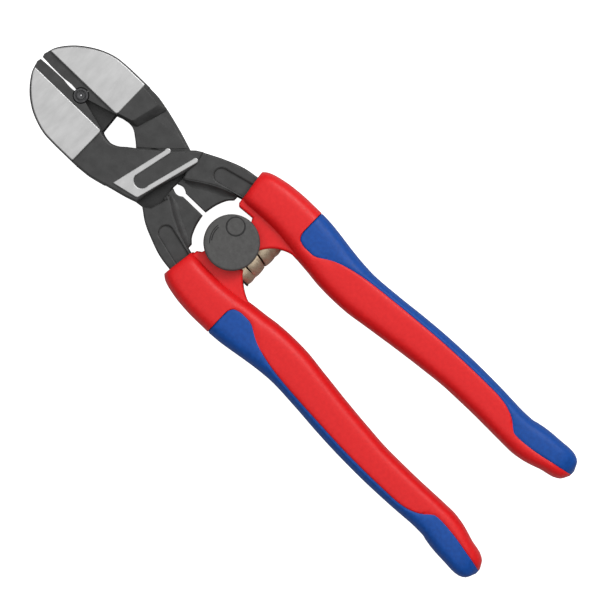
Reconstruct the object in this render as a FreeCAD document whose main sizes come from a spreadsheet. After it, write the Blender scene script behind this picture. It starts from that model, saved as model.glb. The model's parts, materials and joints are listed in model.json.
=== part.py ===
"""Compact lever-action bolt cutters with a spring and a handle lock, as a parametric FreeCAD document.

The tool lies flat. Its drawing frame has the jaw pivot at x = 0, y = 0, the handles along +X and the middle
plane of the steel at z = 0; every sub-part's Placement then moves it to the centre of the tool's footprint.
Three forgings carry the load: the fixed jaw lever (lower jaw, band and upper arm), the moving jaw and the
moving handle lever. They share a five-layer joint: cheeks outside, two jaw tines, and one nose in the middle.
"""

import FreeCAD, Part
import math
import os
import Sketcher

from FreeCAD import Placement, Rotation, Vector

SIZES = {
    "tool_length": 200.0,
    "jaw_reach": 16.5,
    "rest_height": 9.5,
    "face_thickness": 12.0,
    "forging_thickness": 11.6,
    "blade_thickness": 10.4,
    "plate_rise": 0.6,
    "plateau_thickness": 10.0,
    "web_thickness": 6.8,
    "cheek_gap": 7.2,
    "tongue_thickness": 7.0,
    "fork_gap": 3.6,
    "nose_thickness": 3.4,
    "tang_thickness": 5.0,
    "tenon_thickness": 5.6,
    "tenon_gap": 5.8,
    "eye_thickness": 8.4,
    "eye_radius": 2.3,
    "eye_clearance": 0.15,
    "jaw_pin_radius": 1.35,
    "pin_head_base": 4.3,
    "pin_head_top": 5.4,
    "pivot_x": 27.0,
    "pivot_y": -9.0,
    "bolt_radius": 2.2,
    "bolt_bottom": 5.6,
    "bolt_top": 4.55,
    "washer_radius": 2.7,
    "nose_eye_radius": 4.0,
    "drive_x": 34.5,
    "drive_y": 6.0,
    "drive_pin_radius": 1.6,
    "tine_end_radius": 3.4,
    "running_clearance": 0.05,
    "slot_clearance": 0.12,
    "jaw_ratio": 0.65,
    "closing_angle": 2.4,
    "opening_angle": 33.0,
    "lobe_thickness": 12.4,
    "dial_x": 62.8,
    "dial_y": -0.4,
    "dial_radius": 8.4,
    "dial_bottom": 7.7,
    "dial_top": 10.2,
    "boss_radius": 3.8,
    "axle_radius": 1.8,
    "catch_x": 65.8,
    "catch_y": -6.9,
    "catch_radius": 0.9,
    "ball_x": 61.2,
    "ball_y": 4.8,
    "ball_radius": 0.8,
    "ball_hole_floor": 3.2,
    "spring_x": 70.2,
    "spring_radius": 4.85,
    "spring_low": -6.1,
    "spring_high": 8.2,
    "spring_pitch": 4.9,
    "strip_width": 4.3,
    "strip_thickness": 0.9,
    "pocket_radius": 5.15,
    "peg_radius": 3.2,
    "stem_radius": 1.6,
    "stem_end": 3.4,
    "flange_thickness": 0.6,
}

doc = FreeCAD.newDocument("BoltCutters")
sheet = doc.addObject("Spreadsheet::Sheet", "Sizes")
for row, (alias, value) in enumerate(SIZES.items(), start=1):
    sheet.set(f"A{row}", alias)
    sheet.set(f"B{row}", str(value))
    sheet.setAlias(f"B{row}", alias)
doc.recompute()

JAW_PIVOT = (0.0, 0.0)
HANDLE_PIVOT = (SIZES["pivot_x"], SIZES["pivot_y"])
DRIVE_PIN = (SIZES["drive_x"], SIZES["drive_y"])
DIAL_CENTRE = (SIZES["dial_x"], SIZES["dial_y"])
ORIGIN_SHIFT = Vector(SIZES["jaw_reach"] - SIZES["tool_length"] / 2, 0, SIZES["rest_height"])
sub_parts = []


# ---------------------------------------------------------------- drawing helpers


def turn(point, centre, degrees):
    """The point turned about the centre, counter-clockwise."""
    angle = math.radians(degrees)
    dx = point[0] - centre[0]
    dy = point[1] - centre[1]
    x = centre[0] + dx * math.cos(angle) - dy * math.sin(angle)
    y = centre[1] + dx * math.sin(angle) + dy * math.cos(angle)
    return (x, y)


def polar(centre, radius, degrees):
    """The point at a radius and an angle from the centre."""
    return turn((centre[0] + radius, centre[1]), centre, degrees)


def mirrored(steps, side):
    """An outline's steps, with y reversed where side is -1."""
    return [(step[0], *[(x, side * y) for x, y in step[1:]]) for step in steps]


def new_body(label):
    """An empty body that becomes the sub-part of that name."""
    body = doc.addObject("PartDesign::Body", "Body_" + label)
    body.Label = label
    body.Placement = Placement(ORIGIN_SHIFT, Rotation())
    sub_parts.append(body)
    return body


def origin_plane(body, role):
    """The body's own origin plane with that role."""
    return [feature for feature in body.Origin.OriginFeatures if feature.Role == role][0]


def new_sketch(body, name, role="XY_Plane", offset=0.0):
    """A sketch on one of the body's origin planes, moved along the plane's normal."""
    sketch = body.newObject("Sketcher::SketchObject", f"{body.Label}_{name}")
    sketch.AttachmentSupport = [(origin_plane(body, role), "")]
    sketch.MapMode = "FlatFace"
    sketch.AttachmentOffset = Placement(Vector(0, 0, offset), Rotation())
    return sketch


def draw(sketch, steps):
    """Draws a closed outline: ("start", p), then ("line", p), ("arc", through, p) or ("curve", p1, p2, ...)."""
    here = steps[0][1]
    first = here
    edges = []
    for kind, *points in steps[1:] + [("line", first)]:
        corners = [Vector(x, y, 0) for x, y in [here, *points]]
        here = points[-1]
        if (corners[0] - corners[-1]).Length < 1e-6:
            continue
        if kind == "line":
            edges.append(Part.LineSegment(*corners))
        elif kind == "arc":
            edges.append(Part.Arc(*corners))
        else:
            curve = Part.BSplineCurve()
            curve.interpolate(corners)
            edges.append(curve)
    sketch.addGeometry(edges, False)


def outline(body, name, steps, offset=0.0):
    """A sketch that holds one closed outline."""
    sketch = new_sketch(body, name, offset=offset)
    draw(sketch, steps)
    return sketch


def circle(body, name, centre, radius, offset=0.0):
    """A sketch that holds one circle. The centre is sheet names or numbers; the radius is a formula."""
    sketch = new_sketch(body, name, offset=offset)
    x, y = [SIZES[c] if isinstance(c, str) else c for c in centre]
    sketch.addGeometry(Part.Circle(Vector(x, y, 0), Vector(0, 0, 1), 1.0), False)
    sketch.addConstraint(Sketcher.Constraint("Radius", 0, 1.0))
    sketch.renameConstraint(0, "radius")
    sketch.setExpression("Constraints.radius", sized(radius))
    return sketch


def sized(formula):
    """A formula over the sheet's aliases, such as "eye_radius + eye_clearance", as an expression."""
    return " ".join("Sizes." + word if word in SIZES else word for word in formula.split())


def pad(body, sketch, thickness, centred=True):
    """Adds the sketch's area, to both sides of its plane or above it."""
    feature = body.newObject("PartDesign::Pad", sketch.Name + "_pad")
    feature.Profile = sketch
    feature.Midplane = centred
    feature.setExpression("Length", sized(thickness))
    sketch.Visibility = False
    doc.recompute()
    return feature


def pocket(body, sketch, depth, centred=True):
    """Takes the sketch's area away, to both sides of its plane or above it. It has to remove something."""
    before = body.Shape.Volume
    feature = body.newObject("PartDesign::Pocket", sketch.Name + "_pocket")
    feature.Profile = sketch
    feature.Midplane = centred
    feature.Reversed = not centred
    feature.setExpression("Length", sized(depth))
    sketch.Visibility = False
    doc.recompute()
    if body.Shape.Volume > before - 1e-3:
        raise RuntimeError(f"{feature.Name} removes nothing")
    return feature


def turned_piece(label, centre, profile, height=0.0, along="z"):
    """A body of revolution about an axis through the centre, from (radius, height) corners."""
    body = new_body(label)
    sketch = new_sketch(body, "profile", "XZ_Plane")
    draw(sketch, [("start", profile[0])] + [("line", corner) for corner in profile[1:]])
    revolution = body.newObject("PartDesign::Revolution", label + "_turned")
    revolution.Profile = sketch
    revolution.ReferenceAxis = (sketch, ["V_Axis"])
    revolution.Angle = 360
    tilt = Rotation() if along == "z" else Rotation(Vector(1, 0, 0), -90)
    body.Placement = Placement(ORIGIN_SHIFT + Vector(*centre, height), tilt)
    doc.recompute()
    return body


# ---------------------------------------------------------------- outlines shared by the forgings

UPPER_JAW_BACK = ("curve", (-15.2, 5.2), (-12, 9.2), (-8, 12.3), (-4, 14.4), (0, 15.6), (5, 16))
LOWER_JAW_BACK = ("curve", (-15.3, -5.2), (-12, -9.6), (-8, -12.8), (-4, -14.7), (0, -15.8), (5, -16.1))
UPPER_FACE = ("curve", (-14.7, 5.3), (-11.7, 8.9), (-7.8, 11.9), (-3.9, 14.0), (0, 15.2), (5, 15.6))
LOWER_FACE = ("curve", (-14.9, -5.2), (-11.8, -9.1), (-7.8, -12.4), (-3.9, -14.3), (0, -15.4), (5, -15.7))
BLADE_EDGE = [
    ("line", (11.4, 3.1)),
    ("line", (2.4, 0.53)),
    ("line", (-2.3, 0.4)),
    ("arc", (-5.2, 0.5), (-8.2, 0.15)),
]
BLADE_ROOT = 3.3
FACE_END = 11.7
TANG = [("start", (53, 13.0)), ("line", (53, 19.0)), ("line", (150, 19.0)), ("line", (150, 13.0))]
ARM_BACK = ("curve", (40, 14.1), (44, 16), (50, 18.2), (56.4, 19.2))
RIDGE = ("curve", (50, 9.4), (45, 6.9), (42, 5), (39, 3))
GAP_FACE = 0.6


def forging_tang(body, side):
    """The thin bar that runs on from the arm, inside the grip."""
    pad(body, outline(body, "tang", mirrored(TANG, side)), "tang_thickness")


def arm(body, side, root):
    """The arm's raised plateau and the lower web inside it, which is cut round for the dial and the keyhole."""
    plateau = [("start", root[0]), ARM_BACK, ("line", (56.4, 11.2)), RIDGE] + [("line", p) for p in root[1:]]
    pad(body, outline(body, "plateau", mirrored(plateau, side)), "plateau_thickness")
    web = [
        ("start", (38.2, 4.5)),
        ("line", (38.2, 1.0)),
        ("arc", (40.5, 1.45), (42.6, GAP_FACE)),
        ("line", (50.5, GAP_FACE)),
        ("curve", (51.2, 4), (52.6, 7.4), (54.2, 9.2)),
        ("line", (54.2, 14.0)),
    ]
    pad(body, outline(body, "web", mirrored(web, side)), "web_thickness")


# ---------------------------------------------------------------- the three forgings


def make_fixed_jaw_lever():
    """Lower jaw, diagonal band with two cheeks, and upper arm, in one forging."""
    body = new_body("fixed_jaw_lever")
    tip = (-SIZES["jaw_reach"], -1.5)
    blade = [("start", (-16.2, -0.35)), ("line", tip), LOWER_JAW_BACK]
    blade += [("line", (13, -16.1)), ("line", (13, -5)), ("line", (11.4, -4.2))]
    blade += mirrored(BLADE_EDGE, -1)
    pad(body, outline(body, "blade", blade), "blade_thickness")
    face = [("start", (-15.6, -BLADE_ROOT)), LOWER_FACE]
    face += [("line", (FACE_END, -15.7)), ("line", (FACE_END, -BLADE_ROOT))]
    pad(body, outline(body, "ground_face", face), "face_thickness")
    band = [
        ("start", (11.4, -3.1)),
        ("curve", (14, -3.8), (16.4, -3.9), (18.6, -3.0), (20.6, -1.5), (22.5, 0)),
        ("curve", (25, 2.1), (30, 6.2), (34.5, 10.6)),
        ("line", (36, 12)),
        ("line", (38, 13.2)),
        ("line", (39, 9)),
        ("curve", (38, 4), (36, -2), (34.5, -8), (33.9, -11.4)),
        ("curve", (30, -12.7), (24, -14.2), (19, -15.6), (14, -16.1)),
        ("line", (11.4, -16.1)),
    ]
    pad(body, outline(body, "band", band), "forging_thickness")
    arm(body, 1, [(36, 12), (37.6, 3.4), (37.2, 8)])
    forging_tang(body, 1)

    cavity = [
        ("start", polar(JAW_PIVOT, 17.8, -26)),
        ("arc", polar(JAW_PIVOT, 17.8, 5), polar(JAW_PIVOT, 17.8, 50)),
        ("line", polar(JAW_PIVOT, 38.7, 50)),
        ("arc", polar(JAW_PIVOT, 38.7, 25), (38.7, 0)),
        ("line", (38.7, -18)),
        ("line", (23, -18)),
        ("line", (22.6, -10.6)),
    ]
    pocket(body, outline(body, "tine_cavity", cavity), "cheek_gap")
    sweep = [
        ("start", (24, -9)),
        ("line", polar(HANDLE_PIVOT, 21.6, 82)),
        ("arc", polar(HANDLE_PIVOT, 21.6, 40), polar(HANDLE_PIVOT, 21.6, -20)),
    ]
    pocket(body, outline(body, "nose_cavity", sweep), "fork_gap + 0.2")
    pocket(body, circle(body, "eye_room", (0, 0), "eye_radius + eye_clearance"), "face_thickness + 2")
    tenon = [
        ("start", polar(JAW_PIVOT, SIZES["eye_radius"], 49)),
        ("arc", polar(JAW_PIVOT, SIZES["eye_radius"], 180), polar(JAW_PIVOT, SIZES["eye_radius"], 235)),
        ("line", (-1.2, -4)),
        ("line", (11.3, -4)),
        ("line", (11.3, 3.25)),
    ]
    pad(body, outline(body, "tenon", tenon), "tenon_thickness")
    pocket(body, circle(body, "jaw_pin_hole", (0, 0), "jaw_pin_radius"), "face_thickness")
    bar = [("arc", (30.2, 6.9), (29.35, 5.6)), ("line", (24.9, -12.1))]
    plate = [("start", (31.0, 5.6))] + bar + [
        ("line", (33.0, -10.4)),
        ("line", (34.0, -8)),
        ("line", (38.8, 9.4)),
        ("arc", (38.1, 10.5), (37.2, 9.6)),
        ("line", (33.0, -5.4)),
        ("arc", (31.2, -7.9), (28.3, -6.0)),
    ]
    root = SIZES["forging_thickness"] / 2 - 0.1
    for name, start in (("front_plate", root), ("rear_plate", -root - SIZES["plate_rise"])):
        pad(body, outline(body, name, plate, offset=start), "plate_rise", centred=False)
    bolt_hole = circle(body, "bolt_hole", ("pivot_x", "pivot_y"), "bolt_radius", offset=-SIZES["rest_height"])
    pocket(body, bolt_hole, "rest_height + bolt_top + running_clearance", centred=False)
    return body


def make_moving_jaw():
    """Upper jaw with a forked tongue. Its tines reach back under the band to the drive pin."""
    body = new_body("moving_jaw")
    tip = (-SIZES["jaw_reach"], 1.5)
    blade = [("start", (-16.2, 0.45)), ("line", tip), UPPER_JAW_BACK]
    blade += [("line", (13, 16)), ("line", (13, 5)), ("line", (11.4, 4.2))]
    blade += BLADE_EDGE
    pad(body, outline(body, "blade", blade), "blade_thickness")
    face = [("start", (-15.6, BLADE_ROOT)), UPPER_FACE]
    face += [("line", (FACE_END, 15.6)), ("line", (FACE_END, BLADE_ROOT))]
    pad(body, outline(body, "ground_face", face), "face_thickness")
    shoulder = [
        ("start", (11.4, 3.7)),
        ("line", (11.4, 15.4)),
        ("line", (18.7, 14.4)),
        ("line", (18.6, 13.5)),
        ("line", (16.4, 5.5)),
        ("line", (16.4, 4.4)),
        ("line", (14, 4.4)),
    ]
    pad(body, outline(body, "shoulder", shoulder), "forging_thickness")
    tine_end = SIZES["tine_end_radius"]
    tongue = [
        ("start", (11.4, 3.1)),
        ("line", (11.4, 8)),
        ("line", (12.4, 16)),
        ("line", (13.4, 16)),
        ("curve", (17, 15.7), (21.5, 14.8), (26, 13.6), (30, 12.4), (34.5, 10.9)),
        ("arc", (37.3, 8.0), polar(DRIVE_PIN, tine_end, -10)),
        ("arc", polar(DRIVE_PIN, tine_end, -50), polar(DRIVE_PIN, tine_end, -95)),
        ("line", (31, 1.6)),
        ("line", (26, -0.8)),
        ("line", (23.4, -0.8)),
        ("curve", (21.5, 1), (20, 2.2), (18.5, 3.3), (17, 3.9), (14, 3.85), (11.4, 3.1)),
    ]
    pad(body, outline(body, "tongue", tongue), "tongue_thickness")
    pad(body, circle(body, "eye", (0, 0), "eye_radius"), "eye_thickness")
    room = [
        ("start", (-2.45, -3)),
        ("arc", polar(JAW_PIVOT, 2.45, 120), polar(JAW_PIVOT, 2.45, 75)),
        ("line", polar(JAW_PIVOT, 12.1, 39)),
        ("arc", polar(JAW_PIVOT, 12.1, 20), polar(JAW_PIVOT, 12.1, -15)),
        ("line", (2.45, -3)),
    ]
    pocket(body, outline(body, "tenon_room", room), "tenon_gap")
    fork = [("start", (21.5, -5)), ("line", (21.5, 9)), ("arc", (25, 11.3), (34, 13))]
    fork += [("line", (42, 13)), ("line", (42, -5))]
    pocket(body, outline(body, "fork", fork), "fork_gap")
    notch_radius = SIZES["washer_radius"] + 0.15
    away = SIZES["opening_angle"] * SIZES["jaw_ratio"]
    far = turn(HANDLE_PIVOT, JAW_PIVOT, away)
    near = turn(HANDLE_PIVOT, JAW_PIVOT, -2)
    notch = [
        ("start", (near[0] - notch_radius, near[1])),
        ("line", (far[0] - notch_radius, far[1])),
        ("arc", (far[0], far[1] + notch_radius), (far[0] + notch_radius, far[1])),
        ("line", (near[0] + notch_radius, near[1])),
    ]
    pocket(body, outline(body, "washer_notch", notch), "face_thickness")
    under_head = SIZES["pin_head_base"] - SIZES["running_clearance"]
    starts = {"front_head_room": under_head, "rear_head_room": -under_head - SIZES["rest_height"]}
    for name, start in starts.items():
        head_room = circle(body, name, (0, 0), "eye_radius + eye_clearance", offset=start)
        pocket(body, head_room, "rest_height", centred=False)
    pin_hole = circle(body, "jaw_pin_hole", (0, 0), "jaw_pin_radius + running_clearance")
    pocket(body, pin_hole, "face_thickness")
    pocket(body, circle(body, "drive_pin_hole", ("drive_x", "drive_y"), "drive_pin_radius"), "face_thickness")
    return body


def drive_slot():
    """The drive pin's path as the handle lever sees it, at both limits of travel and half way."""
    path = []
    for angle in (SIZES["closing_angle"], -SIZES["opening_angle"] / 2, -SIZES["opening_angle"]):
        pin = turn(DRIVE_PIN, JAW_PIVOT, angle * SIZES["jaw_ratio"])
        path.append(turn(pin, HANDLE_PIVOT, -angle))
    return path


def offset_path(points, distance):
    """The three points of an arc, moved sideways off the arc's line by the distance."""
    (ax, ay), (bx, by), (cx, cy) = points
    length = math.hypot(cx - ax, cy - ay)
    normal = ((cy - ay) / length, -(cx - ax) / length)
    middle = ((ax + cx) / 2, (ay + cy) / 2)
    rise = (bx - middle[0]) * normal[0] + (by - middle[1]) * normal[1]
    radius = (length**2 / 4 + rise**2) / (2 * rise)
    centre = (middle[0] + normal[0] * (rise - radius), middle[1] + normal[1] * (rise - radius))
    moved = []
    for x, y in points:
        reach = math.hypot(x - centre[0], y - centre[1])
        share = (reach + distance) / reach
        moved.append((centre[0] + (x - centre[0]) * share, centre[1] + (y - centre[1]) * share))
    return moved


def slot_outline(path, half_width):
    """A round-ended slot along the three-point path."""
    outer = offset_path(path, half_width)
    inner = offset_path(path, -half_width)
    ends = []
    for end, other in ((path[2], path[1]), (path[0], path[1])):
        length = math.hypot(end[0] - other[0], end[1] - other[1])
        along = ((end[0] - other[0]) / length, (end[1] - other[1]) / length)
        ends.append((end[0] + along[0] * half_width, end[1] + along[1] * half_width))
    return [
        ("start", outer[0]),
        ("arc", outer[1], outer[2]),
        ("arc", ends[0], inner[2]),
        ("arc", inner[1], inner[0]),
        ("arc", ends[1], outer[0]),
    ]


def make_moving_handle_lever():
    """Lower arm with a thin nose, whose curved slot drives the jaw's tines."""
    body = new_body("moving_handle_lever")
    arm(body, -1, [(36, 11.2), (39.9, 4.2), (39.2, 6.4), (38.2, 9.6)])
    forging_tang(body, -1)
    eye = SIZES["nose_eye_radius"]
    nose = [
        ("start", (45, -10)),
        ("line", (42, -15)),
        ("line", (36, -11.3)),
        ("line", (29.5, -12.1)),
        ("arc", polar(HANDLE_PIVOT, eye, 230), polar(HANDLE_PIVOT, eye, 150)),
        ("line", (29.0, 0.6)),
        ("curve", (30.0, 4.6), (32.2, 8.2)),
        ("arc", (35.6, 10.0), (38.5, 7.4)),
        ("curve", (38.6, 3.4), (38.4, -1.0)),
        ("line", (39.4, -4.6)),
    ]
    pad(body, outline(body, "nose", nose), "nose_thickness")
    half_slot = SIZES["drive_pin_radius"] + SIZES["slot_clearance"]
    pocket(body, outline(body, "drive_slot", slot_outline(drive_slot(), half_slot)), "nose_thickness + 2")
    pivot = circle(body, "pivot_hole", ("pivot_x", "pivot_y"), "bolt_radius + running_clearance")
    pocket(body, pivot, "nose_thickness + 2")
    return body


# ---------------------------------------------------------------- pins, bolt and washers


def make_joint_hardware():
    """Jaw pin with its riveted rear head, handle bolt with spacer sleeves, and the drive pin."""
    pin = SIZES["jaw_pin_radius"]
    head = SIZES["eye_radius"]
    base = SIZES["pin_head_base"]
    top = SIZES["pin_head_top"]
    dimple = [(1.5, top), (1.4, top - 0.2), (0.5, top - 0.2), (0.4, top - 0.4), (0, top - 0.4)]
    rim = [(head, base), (head, top - 0.2), (head - 0.2, top)]
    turned_piece("jaw_pivot_pin", JAW_PIVOT, [(0, -base), (pin, -base), (pin, base)] + rim + dimple)
    rear_head = [(0, -base), (0, -top), (head - 0.2, -top), (head, 0.2 - top), (head, -base)]
    turned_piece("jaw_pivot_rear_head", JAW_PIVOT, rear_head)
    bolt = SIZES["bolt_radius"]
    low = -SIZES["bolt_bottom"]
    high = SIZES["bolt_top"]
    socketed = [(0, low + 1.2), (1.2, low), (bolt - 0.3, low), (bolt, low + 0.3)]
    blind_end = [(bolt, high - 0.25), (bolt - 0.3, high), (0, high)]
    turned_piece("handle_pivot_bolt", HANDLE_PIVOT, socketed + blind_end)
    washer = SIZES["washer_radius"]
    inner_end = SIZES["fork_gap"] / 2 + SIZES["running_clearance"]
    outer_end = SIZES["cheek_gap"] / 2 - SIZES["running_clearance"]
    sleeve = [(bolt, inner_end), (washer, inner_end), (washer, outer_end), (bolt, outer_end)]
    turned_piece("front_spacer_washer", HANDLE_PIVOT, sleeve)
    turned_piece("rear_spacer_washer", HANDLE_PIVOT, [(r, -height) for r, height in reversed(sleeve)])
    drive = SIZES["drive_pin_radius"]
    end = SIZES["tongue_thickness"] / 2
    lower_end = [(0, -end), (drive - 0.2, -end), (drive, 0.2 - end)]
    turned_piece("drive_pin", DRIVE_PIN, lower_end + [(drive, end - 0.2), (drive - 0.2, end), (0, end)])


# ---------------------------------------------------------------- grips

# Stations along the grip: x, inner edge, outer edge, half thickness and corner radius.
GRIP_STATIONS = [
    (54.6, 10.0, 21.4, 8.2, 3.0),
    (60, 10.6, 23.5, 9.2, 4.4),
    (68, 10.8, 24.5, 9.6, 5.0),
    (78, 9.9, 24.5, 9.6, 5.0),
    (90, 8.3, 23.0, 9.6, 5.0),
    (100, 8.2, 22.1, 9.6, 5.0),
    (120, 10.7, 23.5, 9.6, 5.0),
    (142, 12.6, 24.4, 9.6, 5.0),
    (160, 12.5, 23.7, 9.6, 4.8),
    (172, 13.5, 25.0, 9.6, 4.6),
    (180, 15.5, 25.5, 9.0, 4.0),
    (183.5, 18.2, 22.6, 6.4, 1.8),
]
PAD_EDGE = [
    ("start", (75.8, 30)),
    ("line", (75.8, 17)),
    ("arc", (76.6, 14.2), (79.5, 13.3)),
    ("curve", (84, 13.8), (90, 17.2), (100, 19.6), (120, 21.3), (140, 22.1), (152, 21.8), (158.5, 19.8)),
    ("curve", (160.8, 17.6), (163, 16.6), (170, 17.1), (180, 19.0), (186, 20.4)),
]
CORNER = math.sqrt(0.5)
THROUGH = 40.0
CATCH_PIN_FOOT = 4.0


def grip_form(body, side):
    """Lofts the whole grip through rounded rectangles across it, and planes the flat that it rests on."""
    sections = []
    for number, (x, inner, outer, half, radius) in enumerate(GRIP_STATIONS):
        sketch = new_sketch(body, f"station_{number}", "YZ_Plane", offset=x)
        low, high = sorted((side * inner, side * outer))
        near = radius * (1 - CORNER)
        steps = [("start", (low + radius, half)), ("line", (high - radius, half))]
        steps += [("arc", (high - near, half - near), (high, half - radius)), ("line", (high, radius - half))]
        steps += [("arc", (high - near, near - half), (high - radius, -half)), ("line", (low + radius, -half))]
        steps += [("arc", (low + near, near - half), (low, radius - half)), ("line", (low, half - radius))]
        steps += [("arc", (low + near, half - near), (low + radius, half))]
        draw(sketch, steps)
        sections.append(sketch)
    loft = body.newObject("PartDesign::AdditiveLoft", body.Label + "_form")
    loft.Profile = sections[0]
    loft.Sections = sections[1:]
    loft.Ruled = True
    doc.recompute()
    grip_area = [("start", (50, 5)), ("line", (190, 5)), ("line", (190, 30)), ("line", (50, 30))]
    rest_flat = outline(body, "rest_flat", mirrored(grip_area, side), offset=-2 * SIZES["rest_height"])
    pocket(body, rest_flat, "rest_height", centred=False)


def tang_room(body, side):
    """The long slot inside a grip that the tang fills."""
    pocket(body, outline(body, "tang_room", mirrored(TANG, side)), "tang_thickness")


def mouth_room(body, side):
    """The wider room at the grip's front, where the arm's full thickness ends."""
    mouth = [("start", (50, 10.7)), ("line", (50, 19.3)), ("line", (56.4, 19.3)), ("line", (56.4, 10.7))]
    pocket(body, outline(body, "mouth", mirrored(mouth, side)), "plateau_thickness")


def cross_hole(body, name, radius, side, end):
    """A round hole along Y on the spring's axis, from inside the opposite bracket's space to the end height."""
    inside = 6.0
    sketch = new_sketch(body, name, "XZ_Plane", offset=side * inside)
    sketch.addGeometry(Part.Circle(Vector(SIZES["spring_x"], 0, 0), Vector(0, 0, 1), SIZES[radius]), False)
    before = body.Shape.Volume
    feature = body.newObject("PartDesign::Pocket", f"{body.Label}_{name}_cut")
    feature.Profile = sketch
    feature.Reversed = side < 0
    feature.Length = abs(end) + inside
    doc.recompute()
    if body.Shape.Volume > before - 1e-3:
        raise RuntimeError(f"{feature.Name} removes nothing")


def make_grips():
    """Red core with its bracket lobe, and blue pad, on each arm."""
    boss = SIZES["boss_radius"]
    upper_lobe = [
        ("start", (57, 12)),
        ("line", (57, 8.8)),
        ("line", (61.9, 9.2)),
        ("line", (62.6, 8.1)),
        ("line", (60.4, 6.7)),
        ("line", (59.3, 4.6)),
        ("line", polar(DIAL_CENTRE, boss, 165)),
        ("arc", polar(DIAL_CENTRE, boss, 250), polar(DIAL_CENTRE, boss, -20)),
        ("line", (70.7, 4.3)),
        ("arc", (73.2, 7.2), (78, 9.5)),
        ("line", (80, 9.4)),
        ("line", (80, 12)),
    ]
    lower_lobe = [
        ("start", (57.5, -12)),
        ("line", (57.6, -9)),
        ("line", (58.5, -7.4)),
        ("line", (63.6, -7.0)),
        ("line", (66.4, -5.5)),
        ("line", (70.8, -3.9)),
        ("arc", (73.5, -6.9), (78.4, -9.8)),
        ("line", (80, -9.6)),
        ("line", (80, -12)),
    ]
    lobes = {1: upper_lobe, -1: lower_lobe}
    flange = SIZES["flange_thickness"]
    stem = SIZES["stem_end"] - flange
    seats = {1: SIZES["spring_high"] + flange, -1: SIZES["spring_low"] - flange}
    pad_area = PAD_EDGE + [("line", (186, 30))]
    core_area = PAD_EDGE + [("line", corner) for corner in ((190, 20.4), (190, 0), (50, 0), (50, 30))]
    for side, place in ((1, "upper"), (-1, "lower")):
        core = new_body(place + "_grip_core")
        grip_form(core, side)
        pocket(core, outline(core, "pad_room", mirrored(pad_area, side)), str(THROUGH))
        pad(core, outline(core, "lobe", lobes[side]), "lobe_thickness")
        tang_room(core, side)
        mouth_room(core, side)
        cross_hole(core, "spring_pocket", "pocket_radius", side, seats[side])
        cross_hole(core, "stem_hole", "stem_radius", side, seats[side] + side * stem)
        soft = new_body(place + "_grip_pad")
        grip_form(soft, side)
        pocket(soft, outline(soft, "core_room", mirrored(core_area, side)), str(THROUGH))
        tang_room(soft, side)
        if side > 0:
            axle_hole = circle(core, "axle_hole", ("dial_x", "dial_y"), "axle_radius + running_clearance")
            pocket(core, axle_hole, str(THROUGH))
            ball_hole = circle(
                core,
                "ball_hole",
                ("ball_x", "ball_y"),
                "ball_radius + running_clearance",
                offset=SIZES["ball_hole_floor"],
            )
            pocket(core, ball_hole, "lobe_thickness", centred=False)
        else:
            catch = ("catch_x", "catch_y")
            catch_hole = circle(core, "catch_hole", catch, "catch_radius", offset=CATCH_PIN_FOOT)
            pocket(core, catch_hole, "lobe_thickness", centred=False)


# ---------------------------------------------------------------- opening spring


def make_spring():
    """Helical spring of flat strip between the two brackets, and the pegs that centre its ends."""
    radius = SIZES["spring_radius"]
    thick = SIZES["strip_thickness"]
    low = SIZES["spring_low"]
    high = SIZES["spring_high"]
    width = SIZES["strip_width"]
    travel = high - low - width
    spring = doc.addObject("Part::Feature", "Spring")
    helix = Part.makeHelix(SIZES["spring_pitch"], travel, radius - thick / 2)
    strip = Part.makePolygon([
        Vector(radius - thick, 0, -width / 2),
        Vector(radius, 0, -width / 2),
        Vector(radius, 0, width / 2),
        Vector(radius - thick, 0, width / 2),
        Vector(radius - thick, 0, -width / 2),
    ])
    spring.Shape = Part.Wire(helix).makePipeShell([strip], True, True)
    spring.Label = "opening_spring"
    start = Vector(SIZES["spring_x"], low + width / 2, 0)
    spring.Placement = Placement(ORIGIN_SHIFT + start, Rotation(Vector(1, 0, 0), -90))
    sub_parts.append(spring)
    peg = SIZES["peg_radius"]
    stem = SIZES["stem_radius"]
    flange = radius - 0.05
    thickness = SIZES["flange_thickness"]
    end = SIZES["stem_end"]
    profile = [(0, -2.4), (peg - 0.6, -2.4), (peg, -1.8), (peg, 0), (flange, 0)]
    profile += [(flange, thickness), (stem, thickness), (stem, end), (0, end)]
    turned_piece("upper_spring_peg", (SIZES["spring_x"], high), profile, along="y")
    flipped = [(r, -height) for r, height in profile]
    turned_piece("lower_spring_peg", (SIZES["spring_x"], low), flipped, along="y")


# ---------------------------------------------------------------- handle lock


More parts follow.
